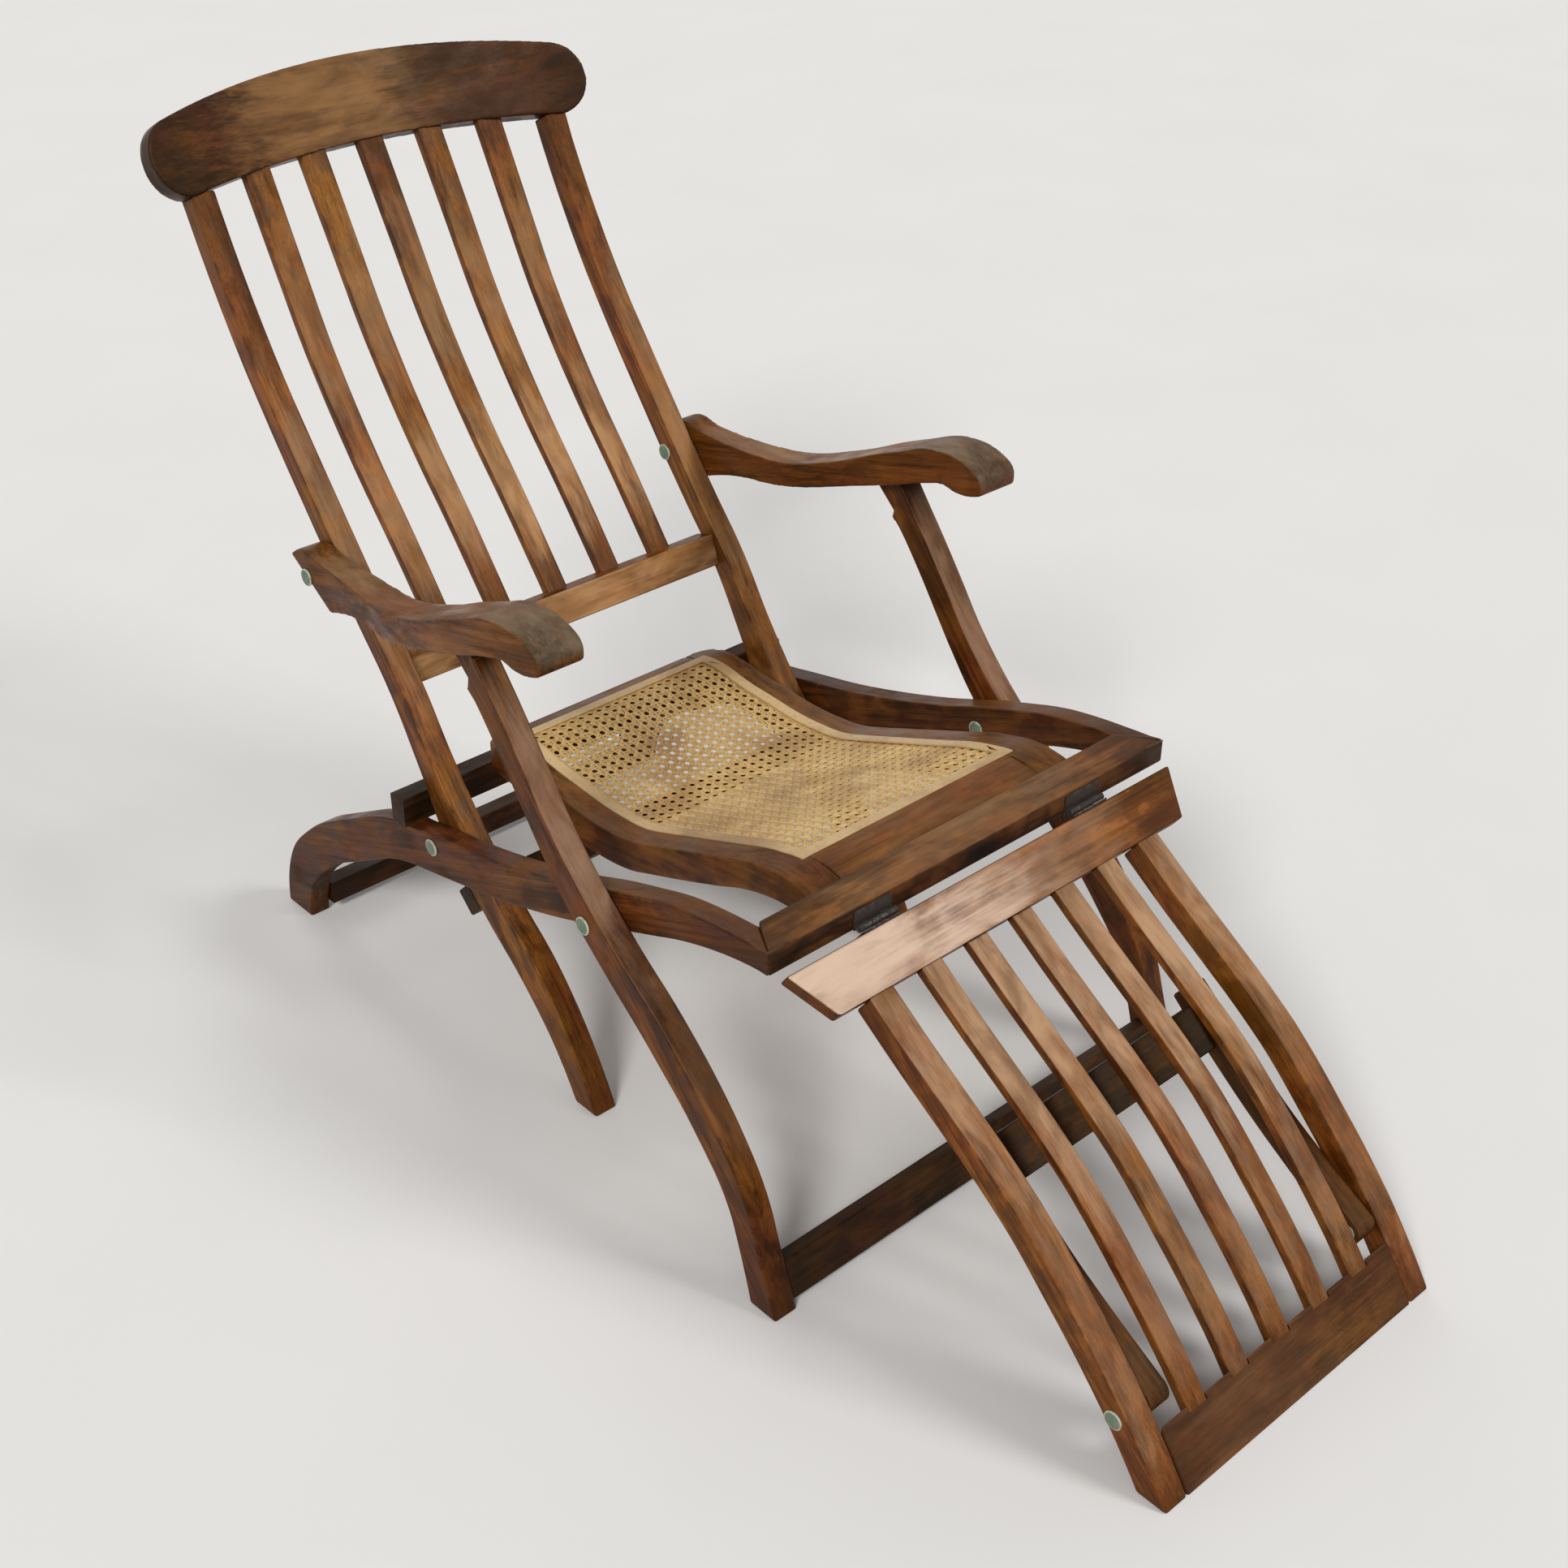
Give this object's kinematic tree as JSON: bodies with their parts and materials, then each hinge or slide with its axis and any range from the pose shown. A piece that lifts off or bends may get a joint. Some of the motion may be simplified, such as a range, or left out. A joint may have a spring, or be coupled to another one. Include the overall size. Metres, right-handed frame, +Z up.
{
  "type": "steamer deck chair",
  "caption": "Folding steamer deck chair with slatted back, scrolled arms, caned seat and slatted footrest.",
  "frame": {"origin": "on the floor under the middle of the chair's bounding box, footrest included", "axes": "+Z up; the chair faces -Y, towards its footrest; +X is the sitter's left"},
  "size_m": [0.582, 1.3478, 0.8769],
  "materials": {
    "dark_walnut": "old wax, dark stain",
    "back_timber": "old wax, worn in patches",
    "rail_timber": "old wax",
    "leg_timber": "old wax, worn pale on the front faces",
    "arm_timber": "old wax, grey worn scroll ends",
    "seat_timber": "old wax",
    "footrest_timber": "old wax, worn pale on top",
    "cane": "open six-way woven cane",
    "cane_binding": "flat cane strip",
    "bolt_brass": "verdigris",
    "dark_iron": "aged, dark"
  },
  "bodies": {
    "base": {"left_side_rail": "rail_timber", "right_side_rail": "rail_timber", "front_crossrail": "rail_timber", "rest_bar": "dark_walnut", "rear_stretcher": "dark_walnut", "back_pivot_bolts": "bolt_brass", "leg_pivot_bolts": "bolt_brass", "seat_hinge_crossrail_leaves": "dark_iron", "footrest_hinge_crossrail_leaves": "dark_iron"},
    "back": {"left_back_post": "back_timber", "right_back_post": "back_timber", "crest_rail": "dark_walnut", "back_crossbar": "back_timber", "leg_stretcher": "dark_walnut", "back_slat_1": "back_timber", "back_slat_2": "back_timber", "back_slat_3": "back_timber", "back_slat_4": "back_timber", "back_slat_5": "back_timber", "arm_bolts": "bolt_brass"},
    "front_legs": {"left_front_leg": "leg_timber", "right_front_leg": "leg_timber", "front_stretcher": "dark_walnut"},
    "left_arm_body": {"left_arm": "arm_timber", "left_arm_pin": "bolt_brass"},
    "right_arm_body": {"right_arm": "arm_timber", "right_arm_pin": "bolt_brass"},
    "seat": {"seat_left_rail": "seat_timber", "seat_right_rail": "seat_timber", "seat_front_rail": "seat_timber", "seat_rear_rail": "seat_timber", "cane_panel": "cane", "cane_binding": "cane_binding", "seat_hinge_seat_leaves": "dark_iron"},
    "footrest": {"footrest_top_board": "footrest_timber", "footrest_left_rail": "footrest_timber", "footrest_right_rail": "footrest_timber", "footrest_slat_1": "footrest_timber", "footrest_slat_2": "footrest_timber", "footrest_slat_3": "footrest_timber", "footrest_slat_4": "footrest_timber", "footrest_slat_5": "footrest_timber", "footrest_bottom_board": "footrest_timber", "footrest_bolts": "bolt_brass", "footrest_hinge_board_leaves": "dark_iron"},
    "footrest_legs": {"footrest_left_leg": "footrest_timber", "footrest_right_leg": "footrest_timber", "footrest_leg_crossbar": "footrest_timber"}
  },
  "joints": [
    {"name": "back_fold", "type": "hinge", "parent": "base", "child": "back", "pos_m": [0, 0.2253, 0.228], "axis": [1, 0, 0], "range_deg": [0, 70]},
    {"name": "front_legs_fold", "type": "hinge", "parent": "base", "child": "front_legs", "pos_m": [0, -0.0587, 0.298], "axis": [1, 0, 0], "range_deg": [0, 72.43]},
    {"name": "left_arm_turn", "type": "hinge", "parent": "back", "child": "left_arm_body", "pos_m": [0.24, 0.3953, 0.464], "axis": [1, 0, 0], "range_deg": [-71.17, 0]},
    {"name": "right_arm_turn", "type": "hinge", "parent": "back", "child": "right_arm_body", "pos_m": [-0.24, 0.3953, 0.464], "axis": [1, 0, 0], "range_deg": [-71.17, 0]},
    {"name": "seat_lift", "type": "hinge", "parent": "base", "child": "seat", "pos_m": [0, -0.2297, 0.335], "axis": [1, 0, 0], "range_deg": [0, 5]},
    {"name": "footrest_raise", "type": "hinge", "parent": "base", "child": "footrest", "pos_m": [0, -0.2792, 0.3525], "axis": [-1, 0, 0], "range_deg": [0, 40]},
    {"name": "footrest_legs_open", "type": "hinge", "parent": "footrest", "child": "footrest_legs", "pos_m": [0, -0.6127, 0.061], "axis": [-1, 0, 0], "range_deg": [0, 90]}
  ],
  "couplings": [
    {"joint": "front_legs_fold", "follows": "back_fold", "ratio": 1.034},
    {"joint": "left_arm_turn", "follows": "back_fold", "ratio": -1.016},
    {"joint": "right_arm_turn", "follows": "back_fold", "ratio": -1.016}
  ]
}
